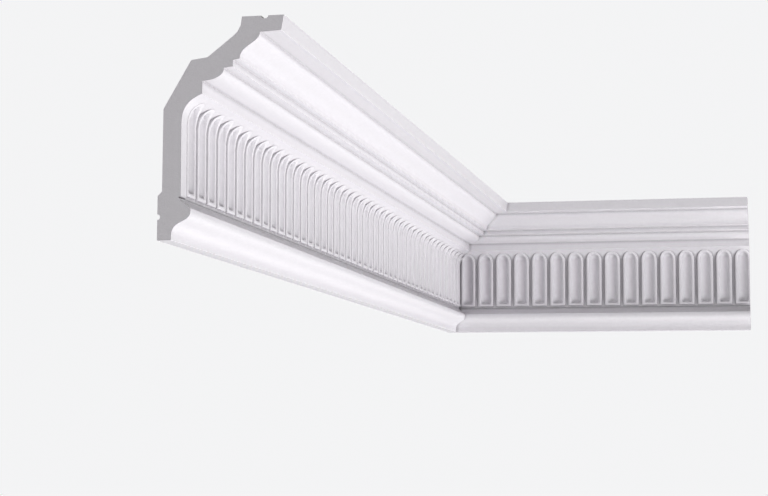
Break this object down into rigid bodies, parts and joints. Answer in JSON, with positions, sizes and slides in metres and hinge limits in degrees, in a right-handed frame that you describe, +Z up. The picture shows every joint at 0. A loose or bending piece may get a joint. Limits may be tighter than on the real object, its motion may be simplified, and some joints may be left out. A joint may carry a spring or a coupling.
{
  "type": "fluted cornice moulding",
  "caption": "Ceiling cornice moulding with arch-topped flutes, nose, ogee, ovolo and base ogee, as two mitred lengths in an inside corner.",
  "frame": {"origin": "on the glued wall face of the left length, at the middle of its length and 162.2 mm below the ceiling line", "axes": "+X out of the left wall, +Y along the left length towards the inside corner, +Z up"},
  "size_m": [0.416, 1.199, 0.17],
  "materials": {
    "left_white_coat": "factory-primed white, low sheen",
    "right_white_coat": "factory-primed white, low sheen"
  },
  "bodies": {
    "root": {"left_length": "left_white_coat", "right_length": "right_white_coat"}
  },
  "joints": []
}
